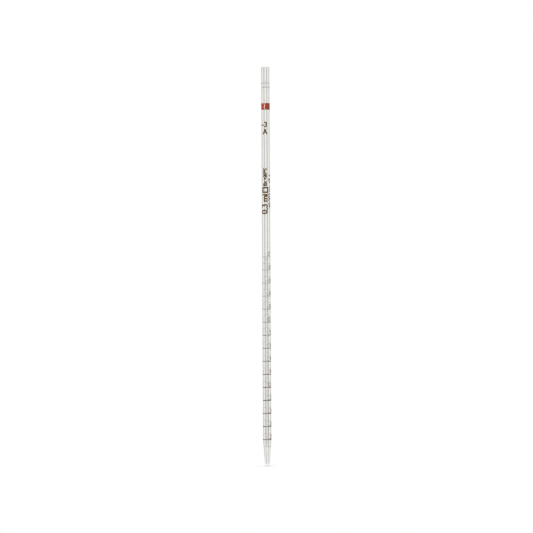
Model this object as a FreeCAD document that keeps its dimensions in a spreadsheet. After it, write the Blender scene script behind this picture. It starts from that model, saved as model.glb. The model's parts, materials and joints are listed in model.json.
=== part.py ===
import FreeCAD, Part

# A graduated glass pipette of 0.3 ml: one capillary glass tube with a drawn tip and a fire-polished
# suction end, and the enamel deposits fired onto it, each deposit a thin solid of its own.
#
# Frame: +Z runs up the tube's axis and the origin is the centre of the tip's end face. -Y is the front.
# Angles round the tube are counted from the front, positive towards +X. Millimetres and degrees.

import math
import os

import Sketcher
from FreeCAD import Placement, Rotation, Vector

# Driving dimensions: alias, value, meaning.
DIMENSIONS = [
    ("overall_length", 360.0, "tip end face to suction end"),
    ("tube_diameter", 7.7, "outside of the straight tube"),
    ("bore_diameter", 1.47, "a bore of this size holds 0.02 ml in one ring pitch"),
    ("suction_rounding", 1.1, "outer fire-polished edge of the suction end"),
    ("bore_mouth_rounding", 0.35, "inner fire-polished edge of the suction end"),
    ("taper_top", 22.5, "height where the tube starts to narrow"),
    ("shoulder_height", 20.0, "height where the steep shoulder meets the long cone"),
    ("shoulder_diameter", 6.96, "outside at that height"),
    ("land_height", 4.5, "height where the cone meets the almost straight tip"),
    ("land_diameter", 4.66, "outside at that height"),
    ("tip_diameter", 4.5, "outside at the end face"),
    ("tip_rounding", 0.3, "ground edge of the end face"),
    ("jet_diameter", 0.75, "outlet of the bore"),
    ("jet_length", 6.0, "straight outlet above the end face"),
    ("jet_top", 18.0, "height where the bore has its full diameter"),
    ("enamel", 0.03, "thickness of a scale line or a character"),
    ("band_enamel", 0.05, "thickness of the colour band and the blow-out rings"),
    ("zero_height", 188.6, "height of the uppermost scale ring"),
    ("ring_pitch", 11.77, "distance between two rings"),
    ("ring_line", 0.32, "thickness of a ring along the axis"),
    ("mark_line", 0.2, "thickness of a mark along the axis"),
    ("mark_pitch", 1.177, "distance between two marks, a tenth of the ring pitch"),
    ("mark_centre", 4.0, "angle round the tube of every mark's middle"),
    ("short_mark", 40.0, "arc of a short mark, a ninth of the circumference"),
    ("medium_mark", 110.0, "arc of the mark at half an interval"),
    ("numeral_height", 3.9, "character height of the scale numerals"),
    ("numeral_gap", 0.85, "from a ring up to its numeral"),
    ("numeral_angle", 20.0, "where every numeral starts"),
    ("band_bottom", 321.7, "lower edge of the colour band"),
    ("band_height", 5.5, "colour band along the axis"),
    ("blowout_lower", 342.4, "middle of the lower blow-out ring"),
    ("blowout_upper", 346.2, "middle of the upper blow-out ring"),
    ("blowout_height", 1.5, "blow-out ring along the axis"),
]

MICROLITRES_PER_RING = 20
RING_COUNT = 15
MARKS_PER_INTERVAL = 10
MEDIUM_MARK = 5
FULL_CIRCLE = 360

# Single-stroke characters in units of their height: advance width, then the strokes. A line holds its two
# ends, and an arc holds its centre, its two radii, its first angle and its last.
CHARACTERS = {
    " ": (0.34, []),
    "-": (0.62, [("line", 0.14, 0.36, 0.5, 0.36)]),
    ".": (0.26, [("line", 0.13, -0.04, 0.13, 0.02)]),
    "0": (0.58, [("arc", 0.29, 0.5, 0.22, 0.46, 0, 360)]),
    "1": (0.40, [("line", 0.08, 0.76, 0.24, 0.94), ("line", 0.25, 0.95, 0.25, 0.05)]),
    "2": (0.58, [("arc", 0.29, 0.7, 0.21, 0.25, 170, -35), ("line", 0.45, 0.54, 0.09, 0.06),
                 ("line", 0.1, 0.05, 0.49, 0.05)]),
    "3": (0.58, [("arc", 0.27, 0.74, 0.19, 0.21, 155, -90), ("arc", 0.27, 0.27, 0.22, 0.24, 90, -155)]),
    "4": (0.58, [("line", 0.36, 0.94, 0.07, 0.32), ("line", 0.08, 0.3, 0.5, 0.3),
                 ("line", 0.38, 0.95, 0.38, 0.05)]),
    "5": (0.58, [("line", 0.45, 0.95, 0.13, 0.95), ("line", 0.12, 0.94, 0.09, 0.56),
                 ("arc", 0.26, 0.32, 0.22, 0.27, 130, -150)]),
    "6": (0.58, [("arc", 0.29, 0.29, 0.21, 0.24, 0, 360), ("arc", 0.46, 0.3, 0.38, 0.65, 180, 95)]),
    "8": (0.58, [("arc", 0.29, 0.75, 0.17, 0.2, 0, 360), ("arc", 0.29, 0.28, 0.22, 0.24, 0, 360)]),
    "A": (0.80, [("line", 0.08, 0.04, 0.4, 0.94), ("line", 0.4, 0.94, 0.72, 0.04),
                 ("line", 0.22, 0.34, 0.58, 0.34)]),
    "C": (0.66, [("arc", 0.36, 0.5, 0.28, 0.45, 50, 310)]),
    "E": (0.58, [("line", 0.1, 0.05, 0.1, 0.95), ("line", 0.1, 0.95, 0.5, 0.95),
                 ("line", 0.1, 0.51, 0.44, 0.51), ("line", 0.1, 0.05, 0.5, 0.05)]),
    "l": (0.22, [("line", 0.11, 0.05, 0.11, 0.66)]),
    "m": (0.92, [("line", 0.1, 0.05, 0.1, 0.48), ("arc", 0.28, 0.3, 0.18, 0.2, 180, 0),
                 ("line", 0.46, 0.3, 0.46, 0.05), ("arc", 0.64, 0.3, 0.18, 0.2, 180, 0),
                 ("line", 0.82, 0.3, 0.82, 0.05)]),
    "s": (0.46, [("arc", 0.23, 0.5, 0.14, 0.16, 30, 270), ("arc", 0.23, 0.18, 0.15, 0.16, 90, -150)]),
    "x": (0.52, [("line", 0.08, 0.05, 0.44, 0.6), ("line", 0.08, 0.6, 0.44, 0.05)]),
    "+": (0.60, [("line", 0.3, 0.26, 0.3, 0.74), ("line", 0.07, 0.5, 0.53, 0.5)]),
    "±": (0.60, [("line", 0.3, 0.34, 0.3, 0.82), ("line", 0.07, 0.58, 0.53, 0.58),
                 ("line", 0.07, 0.12, 0.53, 0.12)]),
    "°": (0.56, [("arc", 0.28, 0.75, 0.19, 0.22, 0, 360)]),
    "□": (1.00, [("line", 0.06, 0.06, 0.06, 0.94), ("line", 0.06, 0.94, 0.94, 0.94),
                 ("line", 0.94, 0.94, 0.94, 0.06), ("line", 0.94, 0.06, 0.06, 0.06)]),
}
ARC_STEP = 18

# Inscriptions: node, text, read upwards or not, angle of the baseline's start, height of the lowest point,
# character height, length of the line of text, and pen width.
INSCRIPTIONS = [
    ("type_digit", "-3", False, -74.0, 305.8, 4.4, 6.4, 1.05),
    ("class_letter", "A", False, -40.0, 299.3, 4.5, 4.3, 1.05),
    ("calibration_inscription", "Ex +20°C", True, 8.0, 252.6, 2.8, 16.5, 0.95),
    ("plain_square_mark", "□", True, 30.0, 246.6, 5.2, 4.7, 1.3),
    ("capacity_inscription", "0.3 ml", True, 20.0, 227.4, 5.8, 17.9, 1.25),
    ("tolerance_inscription", "±0.003 ml  +5 s", True, 80.0, 232.9, 3.0, 30.0, 0.6),
]
NUMERAL_PEN = 0.46

doc = FreeCAD.newDocument("GraduatedPipette")
sheet = doc.addObject("Spreadsheet::Sheet", "Sheet")
for row, (alias, size, meaning) in enumerate(DIMENSIONS, start=1):
    sheet.set(f"A{row}", alias)
    sheet.set(f"B{row}", str(size))
    sheet.set(f"C{row}", meaning)
    sheet.setAlias(f"B{row}", alias)
doc.recompute()

subparts = []


def value(expression):
    """The number that an expression of the sheet gives."""
    return float(sheet.evalExpression(expression))


def new_body(label):
    body = doc.addObject("PartDesign::Body", label)
    body.Label = label
    subparts.append(body)
    return body


def add_polygon(sketch, corners):
    """A closed polygon through (radius, height) corners, each number bound to an expression."""
    count = len(corners)
    first = sketch.GeometryCount
    points = [Vector(value(radius), value(height), 0) for radius, height in corners]
    for index in range(count):
        sketch.addGeometry(Part.LineSegment(points[index], points[(index + 1) % count]))
    for index in range(count):
        line = first + index
        following = first + (index + 1) % count
        sketch.addConstraint(Sketcher.Constraint("Coincident", line, 2, following, 1))
        for kind, expression, size in (
            ("DistanceX", corners[index][0], points[index].x),
            ("DistanceY", corners[index][1], points[index].y),
        ):
            if size == 0:
                sketch.addConstraint(Sketcher.Constraint("PointOnObject", line, 1, -1))
            else:
                bound = sketch.addConstraint(Sketcher.Constraint(kind, -1, 1, line, 1, size))
                sketch.setExpression(f"Constraints[{bound}]", expression)


def revolve(body, name, polygons, arc=None):
    """Turns the polygons about the tube's axis: all the way, or by an arc centred on the body's XZ plane."""
    sketch = body.newObject("Sketcher::SketchObject", f"{name}_profile")
    planes = {feature.Role: feature for feature in body.Origin.OriginFeatures}
    sketch.AttachmentSupport = [(planes["XZ_Plane"], "")]
    sketch.MapMode = "FlatFace"
    for corners in polygons:
        add_polygon(sketch, corners)
    feature = body.newObject("PartDesign::Revolution", name)
    feature.Profile = sketch
    feature.ReferenceAxis = (sketch, ["V_Axis"])
    if arc is None:
        feature.Angle = FULL_CIRCLE
    else:
        feature.Midplane = True
        feature.setExpression("Angle", arc)
    body.Tip = feature
    doc.recompute()
    return feature


# Glass

CORNERS = [
    ("Sheet.tip_diameter / 2", "0"),
    ("Sheet.land_diameter / 2", "Sheet.land_height"),
    ("Sheet.shoulder_diameter / 2", "Sheet.shoulder_height"),
    ("Sheet.tube_diameter / 2", "Sheet.taper_top"),
    ("Sheet.tube_diameter / 2", "Sheet.overall_length"),
]


def circle_at(shape, radius, height):
    """The name of the circular edge of this radius at this height."""
    for number, edge in enumerate(shape.Edges, start=1):
        box = edge.BoundBox
        if abs(box.ZMax - height) + abs(box.ZMin - height) + abs(box.XMax - radius) < 1e-4:
            return f"Edge{number}"
    raise ValueError(f"no edge of radius {radius} at height {height}")


def round_circle(body, name, diameter, height, rounding):
    """Rounds one circular edge of the glass."""
    base = body.Tip
    edge = circle_at(base.Shape, value(f"Sheet.{diameter}") / 2, height)
    fillet = body.newObject("PartDesign::Fillet", name)
    fillet.Base = (base, [edge])
    fillet.setExpression("Radius", f"Sheet.{rounding}")
    body.Tip = fillet
    doc.recompute()


def make_glass():
    glass = new_body("glass_tube")
    bore = [
        ("Sheet.bore_diameter / 2", "Sheet.overall_length"),
        ("Sheet.bore_diameter / 2", "Sheet.jet_top"),
        ("Sheet.jet_diameter / 2", "Sheet.jet_length"),
        ("Sheet.jet_diameter / 2", "0"),
    ]
    revolve(glass, "drawn_tube", [CORNERS + bore])
    top = value("Sheet.overall_length")
    round_circle(glass, "suction_edge", "tube_diameter", top, "suction_rounding")
    round_circle(glass, "bore_mouth", "bore_diameter", top, "bore_mouth_rounding")
    round_circle(glass, "tip_edge", "tip_diameter", 0, "tip_rounding")


# Bands, rings and marks


def surface_radius(height):
    """Expression for the glass's outer radius at a height, which is an expression too."""
    level = value(height)
    for (low_radius, low), (high_radius, high) in zip(CORNERS, CORNERS[1:]):
        if value(low) <= level <= value(high):
            slope = f"({high_radius} - {low_radius}) / ({high} - {low})"
            return f"({low_radius} + ({height} - {low}) * {slope})"
    raise ValueError(f"no glass at {height}")


def deposit(middle, width, thickness):
    """The section of enamel that lies on the glass, centred on a height."""
    low = f"({middle} - {width} / 2)"
    high = f"({middle} + {width} / 2)"
    return [
        (surface_radius(low), low),
        (f"{surface_radius(low)} + {thickness}", low),
        (f"{surface_radius(high)} + {thickness}", high),
        (surface_radius(high), high),
    ]


def make_ring(label, middle, width, thickness):
    revolve(new_body(label), f"{label}_ring", [deposit(middle, width, thickness)])


def make_marks(label, ring, count):
    """The marks below a ring, turned so that their middles face the front."""
    short = []
    medium = []
    for step in range(1, count + 1):
        middle = f"({ring} - {step} * Sheet.mark_pitch)"
        group = medium if step == MEDIUM_MARK else short
        group.append(deposit(middle, "Sheet.mark_line", "Sheet.enamel"))
    body = new_body(label)
    revolve(body, f"{label}_short", short, "Sheet.short_mark")
    revolve(body, f"{label}_medium", medium, "Sheet.medium_mark")
    body.Placement = Placement(Vector(0, 0, 0), Rotation(Vector(0, 0, 1), -90 + value("Sheet.mark_centre")))
    body.setExpression("Placement.Rotation.Angle", "Sheet.mark_centre - 90")


# Characters


def stroke_outline(stroke, across, up, pen):
    """The outline of one pen stroke in millimetres, for a character scaled by across and up."""
    half = pen / 2
    if stroke[0] == "line":
        start = Vector(stroke[1] * across, stroke[2] * up, 0)
        end = Vector(stroke[3] * across, stroke[4] * up, 0)
        along = (end - start).normalize() * half
        side = Vector(-along.y, along.x, 0)
        return [start - along + side, start - along - side, end + along - side, end + along + side]
    centre_x, centre_y, radius_x, radius_y, first, last = stroke[1:]
    steps = math.ceil(abs(last - first) / ARC_STEP)
    outer = []
    inner = []
    for index in range(steps + 1):
        angle = math.radians(first + (last - first) * index / steps)
        outward = Vector(math.cos(angle), math.sin(angle), 0)
        middle = Vector((centre_x + radius_x * outward.x) * across, (centre_y + radius_y * outward.y) * up, 0)
        normal = Vector(outward.x * radius_y * up, outward.y * radius_x * across, 0).normalize() * half
        outer.append(middle + normal)
        inner.append(middle - normal)
    return outer + inner[::-1]


def split_rings(strokes):
    """The strokes, with each full ellipse as two halves."""
    parts = []
    for stroke in strokes:
        if stroke[0] == "arc" and abs(stroke[6] - stroke[5]) == FULL_CIRCLE:
            parts.append(stroke[:5] + (0, 180))
            parts.append(stroke[:5] + (180, 360))
        else:
            parts.append(stroke)
    return parts


def character_solids(outlines, centre_angle):
    """Raises outlines of (arc length, height) points off the glass, about one angle round the tube."""
    radius = value("Sheet.tube_diameter / 2")
    enamel = value("Sheet.enamel")
    centre = math.radians(centre_angle)
    tangent = Vector(math.cos(centre), math.sin(centre), 0)
    normal = Vector(math.sin(centre), -math.cos(centre), 0)
    prisms = []
    for outline in outlines:
        corners = []
        for point in outline:
            sideways = radius * math.sin(point.x / radius - centre)
            corners.append(tangent * sideways + Vector(0, 0, point.y))
        face = Part.Face(Part.makePolygon(corners + corners[:1]))
        prisms.append(face.extrude(normal * (2 * radius)))
    ink = prisms[0].multiFuse(prisms[1:]) if len(prisms) > 1 else prisms[0]
    box = ink.BoundBox
    foot = Vector(0, 0, box.ZMin - 1)
    skin = Part.makeCylinder(radius + enamel, box.ZLength + 2, foot)
    skin = skin.cut(Part.makeCylinder(radius, box.ZLength + 2, foot))
    return ink.common(skin).removeSplitter().Solids


def make_text(label, text, upwards, angle, height, length, pen):
    """A line of text on the glass, its baseline starting at an angle, its lowest point at height zero."""
    radius = value("Sheet.tube_diameter / 2")
    start = radius * math.radians(angle)
    across = length / sum(CHARACTERS[character][0] for character in text)
    solids = []
    cursor = 0
    for character in text:
        advance, strokes = CHARACTERS[character]
        outlines = []
        for stroke in split_rings(strokes):
            points = [point + Vector(cursor, 0, 0) for point in stroke_outline(stroke, across, height, pen)]
            if upwards:
                outlines.append([Vector(start - point.y, point.x, 0) for point in points])
            else:
                outlines.append([Vector(start + point.x, point.y, 0) for point in points])
        middle = start - height / 2 if upwards else start + cursor + advance * across / 2
        if outlines:
            solids += character_solids(outlines, math.degrees(middle / radius))
        cursor += advance * across
    feature = doc.addObject("Part::Feature", label)
    feature.Label = label
    feature.Shape = Part.makeCompound(solids)
    subparts.append(feature)
    return feature


def numeral(microlitres):
    """The figures above a ring: 0, .02, .04 and so on, with a leading nought at each full tenth."""
    if microlitres == 0:
        return "0"
    if microlitres % 100 == 0:
        return f"0.{microlitres // 100}"
    return f".{microlitres // 10:02d}"


def make_numeral(label, text, ring):
    height = value("Sheet.numeral_height")
    length = height * sum(CHARACTERS[character][0] for character in text)
    feature = make_text(label, text, False, value("Sheet.numeral_angle"), height, length, NUMERAL_PEN)
    feature.Placement = Placement(Vector(0, 0, value(f"{ring} + Sheet.numeral_gap")), Rotation())
    feature.setExpression("Placement.Base.z", f"{ring} + Sheet.numeral_gap")


make_glass()
make_ring("colour_code_band", "(Sheet.band_bottom + Sheet.band_height / 2)", "Sheet.band_height",
          "Sheet.band_enamel")
for level in ("upper", "lower"):
    make_ring(f"blowout_ring_{level}", f"Sheet.blowout_{level}", "Sheet.blowout_height", "Sheet.band_enamel")

for label, text, upwards, angle, bottom, height, length, pen in INSCRIPTIONS:
    inscription = make_text(label, text, upwards, angle, height, length, pen)
    inscription.Placement = Placement(Vector(0, 0, bottom), Rotation())

for number in range(RING_COUNT):
    microlitres = number * MICROLITRES_PER_RING
    ring = f"(Sheet.zero_height - {number} * Sheet.ring_pitch)"
    last = number == RING_COUNT - 1
    make_ring(f"scale_ring_{microlitres:03d}", ring, "Sheet.ring_line", "Sheet.enamel")
    make_marks(f"scale_marks_{microlitres:03d}", ring, MEDIUM_MARK if last else MARKS_PER_INTERVAL - 1)
    make_numeral(f"scale_numeral_{microlitres:03d}", numeral(microlitres), ring)

doc.recompute()
for item in doc.Objects:
    if "Invalid" in item.State or "Error" in item.State:
        raise RuntimeError(f"{item.Label} did not recompute: {item.State}")
for item in subparts:
    if item.Shape.isNull() or not item.Shape.isValid() or not item.Shape.Solids:
        raise RuntimeError(f"{item.Label} has no valid solid")

os.makedirs("parts", exist_ok=True)
for item in subparts:
    item.Shape.exportStep(os.path.join("parts", f"{item.Label}.step"))
    print(item.Label, len(item.Shape.Solids), round(item.Shape.Volume, 4))
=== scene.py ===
"""A graduated glass pipette: capillary glass, fired stain and enamel, and a plain pale studio."""

import json
import math

import bpy
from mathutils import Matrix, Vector


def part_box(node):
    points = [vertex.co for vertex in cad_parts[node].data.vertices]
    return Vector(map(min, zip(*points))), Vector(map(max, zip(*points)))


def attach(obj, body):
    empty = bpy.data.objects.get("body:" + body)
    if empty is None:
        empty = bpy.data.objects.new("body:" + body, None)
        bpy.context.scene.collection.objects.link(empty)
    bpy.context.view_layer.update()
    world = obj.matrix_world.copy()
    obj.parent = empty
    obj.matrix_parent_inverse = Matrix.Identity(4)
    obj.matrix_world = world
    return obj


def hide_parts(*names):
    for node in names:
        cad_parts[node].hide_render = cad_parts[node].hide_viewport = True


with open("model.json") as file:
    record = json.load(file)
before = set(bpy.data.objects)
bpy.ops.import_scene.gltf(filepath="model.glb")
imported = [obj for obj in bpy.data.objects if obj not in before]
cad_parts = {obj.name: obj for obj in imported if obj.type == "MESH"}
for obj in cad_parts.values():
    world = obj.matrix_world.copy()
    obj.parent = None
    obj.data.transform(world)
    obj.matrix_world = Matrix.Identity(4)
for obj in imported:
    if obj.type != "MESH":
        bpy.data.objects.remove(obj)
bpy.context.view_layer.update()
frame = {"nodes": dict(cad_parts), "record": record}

bl_info = {
    "name": "Graduated Pipette",
    "version": (1, 0, 0),
    "blender": (4, 5, 0),
    "location": "View3D > Sidebar > Pipette",
    "description": "Capillary glass, fired enamel and a pale studio for a graduated pipette",
    "category": "Object",
}

NODES = frame["nodes"]
MOUNTS = {mount["name"]: mount for mount in frame["record"]["mounts"]}
MM = 0.001

SCALE_RINGS = sorted(name for name in NODES if name.startswith("scale_ring"))
SCALE_MARKS = sorted(name for name in NODES if name.startswith("scale_marks"))
SCALE_NUMERALS = sorted(name for name in NODES if name.startswith("scale_numeral"))
BLOWOUT_RINGS = sorted(name for name in NODES if name.startswith("blowout_ring"))
BROWN_INSCRIPTIONS = [
    "type_digit",
    "class_letter",
    "calibration_inscription",
    "plain_square_mark",
    "capacity_inscription",
]


def wall(mount_name):
    """The radius, top and bottom of the cylinder that a round mount describes, in metres."""
    mount = MOUNTS[mount_name]
    top = mount["pos_m"][2]
    return mount["dims"]["r_mm"] * MM, top, top - mount["dims"]["length_mm"] * MM


TUBE_RADIUS, TUBE_TOP, TAPER_TOP = wall("suction_end")
BORE_RADIUS, BORE_TOP, JET_TOP = wall("capillary_bore")
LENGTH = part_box("glass_tube")[1].z

# Roundings of the glass, where a drawn outline changes its slope and at the fire-polished edges
TAPER_ROUNDING = 12.0 * MM
CONE_ROUNDING = 20.0 * MM
TIP_EDGE_ROUNDING = 0.3 * MM
OUTLET_EDGE_ROUNDING = 0.06 * MM
JET_ROUNDING = 8.0 * MM

# How fine an outline's arcs are, in degrees for each step
GLASS_ARC_STEP = 9.0
RING_ARC_STEP = 22.5

# The least bend that gets an arc, in radians
SMALLEST_TURN = 1e-4

# How close the two sides of a turned piece's seam are before they are merged, in metres
MERGE_DISTANCE = 1e-7

# The band and the blow-out rings lie thicker than the scale, so their edges are this much rounder
THICK_EDGE_FACTOR = 2.0

# Optics
GLASS_IOR = 1.49
ENAMEL_IOR = 1.5

# The part of the mottle's range over which the colour changes, and how much finer the relief is
MOTTLE_RANGE = (0.35, 0.65)
RELIEF_FINENESS = 6.0

# Where the parts of a wall of the light tent end or begin, in degrees from the wall's middle
HALF_WALL = 45.0
CENTRE_END = 2.0
SHADE_MIDDLE = 11.0
WALL_START = 24.0
CORNER_START = 36.0

# Places and sizes of the studio, in metres
OVERHEAD_PLACE = (0, -0.1, 0.9)
OVERHEAD_SIDE = 0.8
STRIP_DISTANCE = 1.0
STRIP_WIDTH = 0.3
STRIP_HEIGHT = 0.9
CAMERA_SIDESTEP = 0.0002
CAMERA_REACH = 20.0
FLOOR_CORNERS = 96
FLOOR_WHITE = 0.93


# Sizes and colours that a user may change


class PipetteGlassSettings(bpy.types.PropertyGroup):
    facets: bpy.props.IntProperty(
        name="Facets",
        description="Steps round the glass and round every printed ring",
        default=128,
        min=24,
    )
    skin: bpy.props.FloatProperty(
        name="Skin",
        description="How far the glass reaches past the enamel's inner face, to keep out air",
        default=0.005 * MM,
        subtype="DISTANCE",
        unit="LENGTH",
        precision=6,
    )
    shoulder_height: bpy.props.FloatProperty(
        name="Shoulder height",
        description="Where the steep shoulder meets the long cone",
        default=20.0 * MM,
        subtype="DISTANCE",
        unit="LENGTH",
    )
    shoulder_radius: bpy.props.FloatProperty(
        name="Shoulder radius",
        description="Outer radius at the shoulder height",
        default=3.48 * MM,
        subtype="DISTANCE",
        unit="LENGTH",
    )
    land_height: bpy.props.FloatProperty(
        name="Land height",
        description="Where the cone meets the almost straight tip",
        default=4.5 * MM,
        subtype="DISTANCE",
        unit="LENGTH",
    )
    land_radius: bpy.props.FloatProperty(
        name="Land radius",
        description="Outer radius at the land height",
        default=2.33 * MM,
        subtype="DISTANCE",
        unit="LENGTH",
    )
    tip_radius: bpy.props.FloatProperty(
        name="Tip radius",
        description="Outer radius of the end face",
        default=2.25 * MM,
        subtype="DISTANCE",
        unit="LENGTH",
    )
    jet_radius: bpy.props.FloatProperty(
        name="Jet radius",
        description="Radius of the outlet",
        default=0.375 * MM,
        subtype="DISTANCE",
        unit="LENGTH",
        precision=5,
    )
    jet_length: bpy.props.FloatProperty(
        name="Jet length",
        description="Straight outlet above the end face",
        default=6.0 * MM,
        subtype="DISTANCE",
        unit="LENGTH",
    )
    tint: bpy.props.FloatVectorProperty(
        name="Tint",
        description="Colour that is left of white light in thick glass",
        default=(0.93, 0.93, 0.86),
        subtype="COLOR",
        min=0.0,
        max=1.0,
    )
    absorption: bpy.props.FloatProperty(
        name="Absorption",
        description="Density of the tint, per metre",
        default=85.0,
        min=0.0,
    )


class PipetteEnamelSettings(bpy.types.PropertyGroup):
    stain_dark: bpy.props.FloatVectorProperty(
        name="Stain, dense",
        description="Fired brown stain where it lies thick",
        default=(0.1, 0.042, 0.002),
        subtype="COLOR",
    )
    stain_light: bpy.props.FloatVectorProperty(
        name="Stain, thin",
        description="Fired brown stain where it lies thin",
        default=(0.17, 0.078, 0.004),
        subtype="COLOR",
    )
    fine_print: bpy.props.FloatVectorProperty(
        name="Fine print",
        description="Grey-black stain of the finest line of text",
        default=(0.02, 0.01, 0.004),
        subtype="COLOR",
    )
    band_dark: bpy.props.FloatVectorProperty(
        name="Band, dense",
        description="Brick-red enamel where it lies thick",
        default=(0.215, 0.02, 0.003),
        subtype="COLOR",
    )
    band_light: bpy.props.FloatVectorProperty(
        name="Band, thin",
        description="Brick-red enamel where it lies thin",
        default=(0.26, 0.028, 0.004),
        subtype="COLOR",
    )
    frost: bpy.props.FloatVectorProperty(
        name="Frost",
        description="Grey of the two blow-out rings",
        default=(0.95, 0.95, 0.94),
        subtype="COLOR",
    )
    edge_rounding: bpy.props.FloatProperty(
        name="Edge rounding",
        description="Rounded edge of a ring of enamel",
        default=0.012 * MM,
        subtype="DISTANCE",
        unit="LENGTH",
        precision=6,
    )


class PipetteStudioSettings(bpy.types.PropertyGroup):
    frame_height: bpy.props.FloatProperty(
        name="Frame height",
        description="Height of the picture at the pipette",
        default=481.0 * MM,
        subtype="DISTANCE",
        unit="LENGTH",
    )
    focal_length: bpy.props.FloatProperty(
        name="Focal length",
        description="Lens of the camera",
        default=135.0,
        subtype="DISTANCE_CAMERA",
        unit="CAMERA",
    )
    roll: bpy.props.FloatProperty(
        name="Roll",
        description="Turn of the camera about its line of sight",
        default=math.radians(0.307),
        subtype="ANGLE",
        unit="ROTATION",
    )
    floor_radius: bpy.props.FloatProperty(
        name="Floor radius",
        description="Radius of the round pale floor under the tip",
        default=40.0 * MM,
        subtype="DISTANCE",
        unit="LENGTH",
    )
    overhead_power: bpy.props.FloatProperty(
        name="Overhead power",
        description="Power of the soft light above the floor",
        default=3.8,
        unit="POWER",
    )
    strip_power: bpy.props.FloatProperty(
        name="Strip power",
        description="Power of the upright strip light at the front left, which lights the red band",
        default=14.0,
        unit="POWER",
    )
    strip_bearing: bpy.props.FloatProperty(
        name="Strip bearing",
        description="Where the strip light stands, counted from the camera towards the left",
        default=math.radians(28),
        subtype="ANGLE",
        unit="ROTATION",
    )
    tent_centre: bpy.props.FloatProperty(
        name="Tent, centre",
        description="Brightness along the middle of each of the light tent's four walls",
        default=1.6,
    )
    tent_shade: bpy.props.FloatProperty(
        name="Tent, shade",
        description="Brightness of the shaded strips beside each middle",
        default=0.3,
    )
    tent_wall: bpy.props.FloatProperty(
        name="Tent, wall",
        description="Brightness of each wall outside its shaded strips",
        default=1.03,
    )
    tent_corner: bpy.props.FloatProperty(
        name="Tent, corner",
        description="Brightness of the light tent's corners",
        default=0.6,
    )


# Outlines


def rounded(corners, degrees_per_step):
    """A closed outline through (radius, height, rounding) corners, with an arc at every corner."""
    points = []
    count = len(corners)
    for index, (x, y, rounding) in enumerate(corners):
        corner = Vector((x, y))
        before = (Vector(corners[index - 1][:2]) - corner).normalized()
        after = (Vector(corners[(index + 1) % count][:2]) - corner).normalized()
        turn = math.pi - before.angle(after)
        if rounding == 0 or turn < SMALLEST_TURN:
            points.append(corner)
            continue
        reach = rounding * math.tan(turn / 2)
        centre = corner + (before + after).normalized() * rounding / math.cos(turn / 2)
        start = corner + before * reach - centre
        side = 1 if before.cross(after) < 0 else -1
        steps = max(2, math.ceil(math.degrees(turn) / degrees_per_step))
        for step in range(steps + 1):
            angle = side * turn * step / steps
            points.append(centre + Vector((
                start.x * math.cos(angle) - start.y * math.sin(angle),
                start.x * math.sin(angle) + start.y * math.cos(angle),
            )))
    return points


def turned_piece(name, outline, facets):
    """Turns a closed outline, which runs down its outer side, about the tube's axis."""
    mesh = bpy.data.meshes.new(name)
    count = len(outline)
    edges = [(index, (index + 1) % count) for index in range(count)]
    mesh.from_pydata([(point.x, 0, point.y) for point in outline], edges, [])
    piece = bpy.data.objects.new(name, mesh)
    bpy.context.collection.objects.link(piece)
    screw = piece.modifiers.new("Turned", "SCREW")
    screw.axis = "Z"
    screw.angle = math.tau
    screw.steps = facets
    screw.render_steps = facets
    screw.use_merge_vertices = True
    screw.merge_threshold = MERGE_DISTANCE
    screw.use_smooth_shade = True
    weighted = piece.modifiers.new("Even shading", "WEIGHTED_NORMAL")
    weighted.mode = "FACE_AREA"
    weighted.keep_sharp = True
    return piece


# Materials


def new_material(name):
    """A material with an empty node tree but for its output and one Principled shader."""
    material = bpy.data.materials.new(name)
    material.use_nodes = True
    nodes = material.node_tree.nodes
    nodes.clear()
    output = nodes.new("ShaderNodeOutputMaterial")
    shader = nodes.new("ShaderNodeBsdfPrincipled")
    material.node_tree.links.new(shader.outputs["BSDF"], output.inputs["Surface"])
    return material, shader, output


def grain(material, scale, stretch=(1.0, 1.0, 1.0), detail=3.0):
    """Noise on object coordinates, with scale grains per metre and a stretch for each axis."""
    nodes = material.node_tree.nodes
    links = material.node_tree.links
    place = nodes.new("ShaderNodeTexCoord")
    mapping = nodes.new("ShaderNodeMapping")
    mapping.inputs["Scale"].default_value = stretch
    noise = nodes.new("ShaderNodeTexNoise")
    noise.inputs["Scale"].default_value = scale
    noise.inputs["Detail"].default_value = detail
    links.new(place.outputs["Object"], mapping.inputs["Vector"])
    links.new(mapping.outputs["Vector"], noise.inputs["Vector"])
    return noise.outputs["Fac"]


def blend_colours(material, factor, low, high):
    """A colour that goes from low to high over the middle of the grain's range."""
    ramp = material.node_tree.nodes.new("ShaderNodeValToRGB")
    for stop, position, colour in zip(ramp.color_ramp.elements, MOTTLE_RANGE, (low, high)):
        stop.position = position
        stop.color = (*colour, 1)
    material.node_tree.links.new(factor, ramp.inputs["Fac"])
    return ramp.outputs["Color"]


def vary(material, factor, socket, low, high):
    """Lets one of the shader's numbers go from low to high with the grain."""
    spread = material.node_tree.nodes.new("ShaderNodeMapRange")
    spread.inputs["To Min"].default_value = low
    spread.inputs["To Max"].default_value = high
    material.node_tree.links.new(factor, spread.inputs["Value"])
    material.node_tree.links.new(spread.outputs["Result"], socket)


def relief(material, factor, shader, depth):
    """Bumps the surface by the grain, depth in metres."""
    bump = material.node_tree.nodes.new("ShaderNodeBump")
    bump.inputs["Strength"].default_value = 1.0
    bump.inputs["Distance"].default_value = depth
    material.node_tree.links.new(factor, bump.inputs["Height"])
    material.node_tree.links.new(bump.outputs["Normal"], shader.inputs["Normal"])


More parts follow.
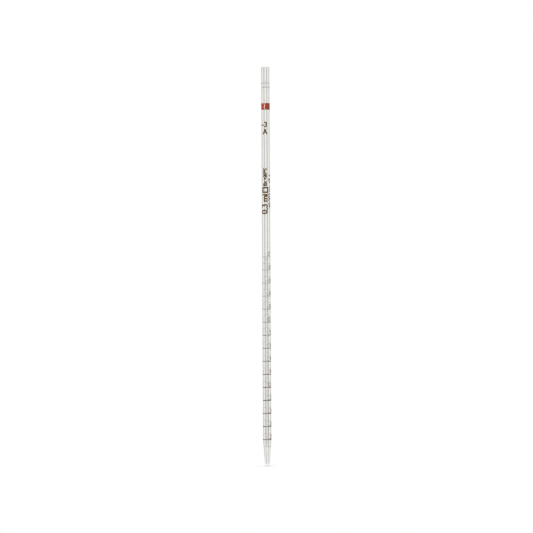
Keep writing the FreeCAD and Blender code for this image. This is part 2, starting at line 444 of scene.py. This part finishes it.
def glass_material(settings):
    """Clear glass with the faint lengthwise streaks of drawing and a slight tint in its depth."""
    material, shader, output = new_material("drawn_glass")
    shader.inputs["Base Color"].default_value = (1.0, 1.0, 1.0, 1.0)
    shader.inputs["Transmission Weight"].default_value = 1.0
    shader.inputs["IOR"].default_value = GLASS_IOR
    streaks = grain(material, scale=500.0, stretch=(1.0, 1.0, 0.01), detail=1.0)
    vary(material, streaks, shader.inputs["Roughness"], low=0.0, high=0.015)
    relief(material, streaks, shader, depth=0.001 * MM)
    depth = material.node_tree.nodes.new("ShaderNodeVolumeAbsorption")
    depth.inputs["Color"].default_value = (*settings.tint, 1)
    depth.inputs["Density"].default_value = settings.absorption
    material.node_tree.links.new(depth.outputs["Volume"], output.inputs["Volume"])
    return material


def enamel_material(name, dense, thin, grains, roughness, depth, translucency, gloss):
    """Fired enamel or stain: mottled where it lies thick or thin, with a finer grain in relief."""
    material, shader, _ = new_material(name)
    mottle = grain(material, grains)
    colour = blend_colours(material, mottle, dense, thin)
    material.node_tree.links.new(colour, shader.inputs["Base Color"])
    vary(material, mottle, shader.inputs["Roughness"], *roughness)
    relief(material, grain(material, RELIEF_FINENESS * grains), shader, depth)
    shader.inputs["IOR"].default_value = ENAMEL_IOR
    shader.inputs["Specular IOR Level"].default_value = gloss
    shader.inputs["Transmission Weight"].default_value = translucency
    return material


def brown_stain(settings):
    """The stain of the scale and the inscriptions, made once and then shared."""
    name = "fired_brown_stain"
    return bpy.data.materials.get(name) or enamel_material(
        name,
        settings.stain_dark,
        settings.stain_light,
        grains=4000.0,
        roughness=(0.3, 0.5),
        depth=0.002 * MM,
        translucency=0.05,
        gloss=0.06,
    )


def paint_nodes(names, material):
    """Gives CAD nodes a material of their own."""
    for name in names:
        node = NODES[name]
        node.data.materials.clear()
        node.data.materials.append(material)


# Operators


class PIPETTE_OT_glass(bpy.types.Operator):
    """Turns the capillary tube with its drawn tip and fire-polished suction end"""

    bl_idname = "pipette.glass"
    bl_label = "Capillary Glass"

    def execute(self, context):
        settings = context.scene.pipette_glass
        skin = settings.skin
        corners = [
            (TUBE_RADIUS + skin, LENGTH, LENGTH - TUBE_TOP),
            (TUBE_RADIUS + skin, TAPER_TOP, TAPER_ROUNDING),
            (settings.shoulder_radius + skin, settings.shoulder_height, CONE_ROUNDING),
            (settings.land_radius + skin, settings.land_height, CONE_ROUNDING),
            (settings.tip_radius, 0.0, TIP_EDGE_ROUNDING),
            (settings.jet_radius, 0.0, OUTLET_EDGE_ROUNDING),
            (settings.jet_radius, settings.jet_length, JET_ROUNDING),
            (BORE_RADIUS, JET_TOP, CONE_ROUNDING),
            (BORE_RADIUS, LENGTH, LENGTH - BORE_TOP),
        ]
        glass = turned_piece("capillary_glass", rounded(corners, GLASS_ARC_STEP), settings.facets)
        glass.data.materials.append(glass_material(settings))
        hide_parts("glass_tube")
        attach(glass, "root")
        return {"FINISHED"}


def turned_ring(node_name, glass, edge, material):
    """A ring of enamel in place of a CAD ring, with rounded edges, sunk a skin into the glass."""
    low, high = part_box(node_name)
    inner = TUBE_RADIUS - glass.skin
    outline = rounded([
        (high.x, high.z, edge),
        (high.x, low.z, edge),
        (inner, low.z, 0),
        (inner, high.z, 0),
    ], RING_ARC_STEP)
    ring = turned_piece(f"fired_{node_name}", outline, glass.facets)
    ring.data.materials.append(material)
    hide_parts(node_name)
    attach(ring, "root")


class PIPETTE_OT_scale(bpy.types.Operator):
    """Fires the scale: full rings, short and medium marks, and numerals, all in brown stain"""

    bl_idname = "pipette.scale"
    bl_label = "Scale"

    def execute(self, context):
        glass = context.scene.pipette_glass
        enamel = context.scene.pipette_enamel
        stain = brown_stain(enamel)
        for name in SCALE_RINGS:
            turned_ring(name, glass, enamel.edge_rounding, stain)
        paint_nodes(SCALE_MARKS + SCALE_NUMERALS, stain)
        return {"FINISHED"}


class PIPETTE_OT_inscriptions(bpy.types.Operator):
    """Fires the capacity, type, class and calibration inscriptions"""

    bl_idname = "pipette.inscriptions"
    bl_label = "Inscriptions"

    def execute(self, context):
        enamel = context.scene.pipette_enamel
        paint_nodes(BROWN_INSCRIPTIONS, brown_stain(enamel))
        thin_print = tuple(2 * part for part in enamel.fine_print)
        fine = enamel_material(
            "fine_print",
            enamel.fine_print,
            thin_print,
            grains=5000.0,
            roughness=(0.35, 0.55),
            depth=0.002 * MM,
            translucency=0.0,
            gloss=0.06,
        )
        paint_nodes(["tolerance_inscription"], fine)
        return {"FINISHED"}


class PIPETTE_OT_bands(bpy.types.Operator):
    """Fires the red colour-code band and the two frosted blow-out rings"""

    bl_idname = "pipette.bands"
    bl_label = "Bands"

    def execute(self, context):
        glass = context.scene.pipette_glass
        enamel = context.scene.pipette_enamel
        edge = THICK_EDGE_FACTOR * enamel.edge_rounding
        red = enamel_material(
            "brick_red_enamel",
            enamel.band_dark,
            enamel.band_light,
            grains=700.0,
            roughness=(0.16, 0.2),
            depth=0.0005 * MM,
            translucency=0.2,
            gloss=0.5,
        )
        turned_ring("colour_code_band", glass, edge, red)
        frost = enamel_material(
            "frosted_enamel",
            enamel.frost,
            (1.0, 1.0, 1.0),
            grains=3000.0,
            roughness=(0.35, 0.5),
            depth=0.002 * MM,
            translucency=0.15,
            gloss=0.25,
        )
        for name in BLOWOUT_RINGS:
            turned_ring(name, glass, edge, frost)
        return {"FINISHED"}


def soft_light(name, location, target, width, height, power, lit):
    """A rectangular soft light that faces a target and lights one piece only."""
    lamp = bpy.data.lights.new(name, "AREA")
    lamp.shape = "RECTANGLE"
    lamp.size = width
    lamp.size_y = height
    lamp.energy = power
    holder = bpy.data.objects.new(name, lamp)
    holder.location = location
    holder.rotation_mode = "QUATERNION"
    holder.rotation_quaternion = (Vector(target) - Vector(location)).to_track_quat("-Z", "Y")
    bpy.context.collection.objects.link(holder)
    receivers = bpy.data.collections.new(f"lit_by_{name}")
    receivers.objects.link(lit)
    holder.light_linking.receiver_collection = receivers


def studio_world(settings):
    """White behind everything, and round the glass a light tent with four walls that are alike."""
    world = bpy.data.worlds.new("light_tent")
    bpy.context.scene.world = world
    world.use_nodes = True
    nodes = world.node_tree.nodes
    links = world.node_tree.links
    nodes.clear()
    output = nodes.new("ShaderNodeOutputWorld")
    place = nodes.new("ShaderNodeTexCoord")
    parts = nodes.new("ShaderNodeSeparateXYZ")
    bearing = nodes.new("ShaderNodeMath")
    bearing.operation = "ARCTAN2"
    from_middle = nodes.new("ShaderNodeMath")
    from_middle.operation = "PINGPONG"
    from_middle.inputs[1].default_value = math.radians(HALF_WALL)
    share = nodes.new("ShaderNodeMath")
    share.operation = "DIVIDE"
    share.inputs[1].default_value = math.radians(HALF_WALL)
    tent = nodes.new("ShaderNodeValToRGB")
    stops = tent.color_ramp.elements
    stops.remove(stops[1])
    stops[0].position = 0.0
    stops[0].color = (settings.tent_centre, settings.tent_centre, settings.tent_centre, 1)
    for degrees, level in (
        (CENTRE_END, settings.tent_centre),
        (SHADE_MIDDLE, settings.tent_shade),
        (WALL_START, settings.tent_wall),
        (CORNER_START, settings.tent_corner),
    ):
        stops.new(degrees / HALF_WALL).color = (level, level, level, 1)
    inside = nodes.new("ShaderNodeBackground")
    white = nodes.new("ShaderNodeBackground")
    white.inputs["Color"].default_value = (1, 1, 1, 1)
    path = nodes.new("ShaderNodeLightPath")
    mix = nodes.new("ShaderNodeMixShader")
    links.new(place.outputs["Generated"], parts.inputs["Vector"])
    links.new(parts.outputs["X"], bearing.inputs[0])
    links.new(parts.outputs["Y"], bearing.inputs[1])
    links.new(bearing.outputs["Value"], from_middle.inputs[0])
    links.new(from_middle.outputs["Value"], share.inputs[0])
    links.new(share.outputs["Value"], tent.inputs["Fac"])
    links.new(tent.outputs["Color"], inside.inputs["Color"])
    links.new(path.outputs["Is Camera Ray"], mix.inputs["Fac"])
    links.new(inside.outputs["Background"], mix.inputs[1])
    links.new(white.outputs["Background"], mix.inputs[2])
    links.new(mix.outputs["Shader"], output.inputs["Surface"])


class PIPETTE_OT_studio(bpy.types.Operator):
    """Sets the pale floor, the soft lights, the light tent and the camera"""

    bl_idname = "pipette.studio"
    bl_label = "Studio"

    def execute(self, context):
        settings = context.scene.pipette_studio
        bpy.ops.mesh.primitive_circle_add(
            vertices=FLOOR_CORNERS, radius=settings.floor_radius, fill_type="NGON"
        )
        floor = context.object
        floor.name = "pale_floor"
        paint, shader, _ = new_material("pale_paper")
        shader.inputs["Base Color"].default_value = (FLOOR_WHITE, FLOOR_WHITE, FLOOR_WHITE, 1)
        shader.inputs["Roughness"].default_value = 0.9
        relief(paint, grain(paint, scale=800.0), shader, depth=0.02 * MM)
        floor.data.materials.append(paint)
        studio_world(settings)
        soft_light(
            "overhead_light",
            OVERHEAD_PLACE,
            (0, 0, 0),
            OVERHEAD_SIDE,
            OVERHEAD_SIDE,
            settings.overhead_power,
            lit=floor,
        )
        middle = Vector((0, 0, LENGTH / 2))
        bearing = settings.strip_bearing
        strip_place = middle - STRIP_DISTANCE * Vector((math.sin(bearing), math.cos(bearing), 0))
        soft_light(
            "strip_light",
            strip_place,
            middle,
            STRIP_WIDTH,
            STRIP_HEIGHT,
            settings.strip_power,
            lit=bpy.data.objects["fired_colour_code_band"],
        )

        lens = bpy.data.cameras.new("camera")
        lens.lens = settings.focal_length
        lens.clip_end = CAMERA_REACH
        camera = bpy.data.objects.new("camera", lens)
        context.collection.objects.link(camera)
        distance = settings.frame_height * settings.focal_length / lens.sensor_width
        camera.location = (CAMERA_SIDESTEP, -distance, LENGTH / 2)
        camera.rotation_euler = (math.pi / 2, settings.roll, 0)
        context.scene.camera = camera
        context.scene.view_settings.view_transform = "Standard"
        return {"FINISHED"}


class PIPETTE_PT_panel(bpy.types.Panel):
    """Every step of the pipette, in order"""

    bl_idname = "PIPETTE_PT_panel"
    bl_label = "Graduated Pipette"
    bl_space_type = "VIEW_3D"
    bl_region_type = "UI"
    bl_category = "Pipette"

    def draw(self, context):
        scene = context.scene
        for operator, settings in STEPS:
            self.layout.operator(operator.bl_idname)
            if settings:
                group = getattr(scene, settings)
                for name in group.bl_rna.properties.keys():
                    if name not in ("rna_type", "name"):
                        self.layout.prop(group, name)


SETTINGS = {
    "pipette_glass": PipetteGlassSettings,
    "pipette_enamel": PipetteEnamelSettings,
    "pipette_studio": PipetteStudioSettings,
}
STEPS = [
    (PIPETTE_OT_glass, "pipette_glass"),
    (PIPETTE_OT_scale, "pipette_enamel"),
    (PIPETTE_OT_inscriptions, None),
    (PIPETTE_OT_bands, None),
    (PIPETTE_OT_studio, "pipette_studio"),
]


def register():
    for name, group in SETTINGS.items():
        bpy.utils.register_class(group)
        setattr(bpy.types.Scene, name, bpy.props.PointerProperty(type=group))
    for operator, _ in STEPS:
        bpy.utils.register_class(operator)
    bpy.utils.register_class(PIPETTE_PT_panel)


def unregister():
    bpy.utils.unregister_class(PIPETTE_PT_panel)
    for operator, _ in reversed(STEPS):
        bpy.utils.unregister_class(operator)
    for name, group in SETTINGS.items():
        delattr(bpy.types.Scene, name)
        bpy.utils.unregister_class(group)


def main():
    register()
    bpy.ops.pipette.glass()
    bpy.ops.pipette.scale()
    bpy.ops.pipette.inscriptions()
    bpy.ops.pipette.bands()
    bpy.ops.pipette.studio()


if __name__ == "__main__":
    main()
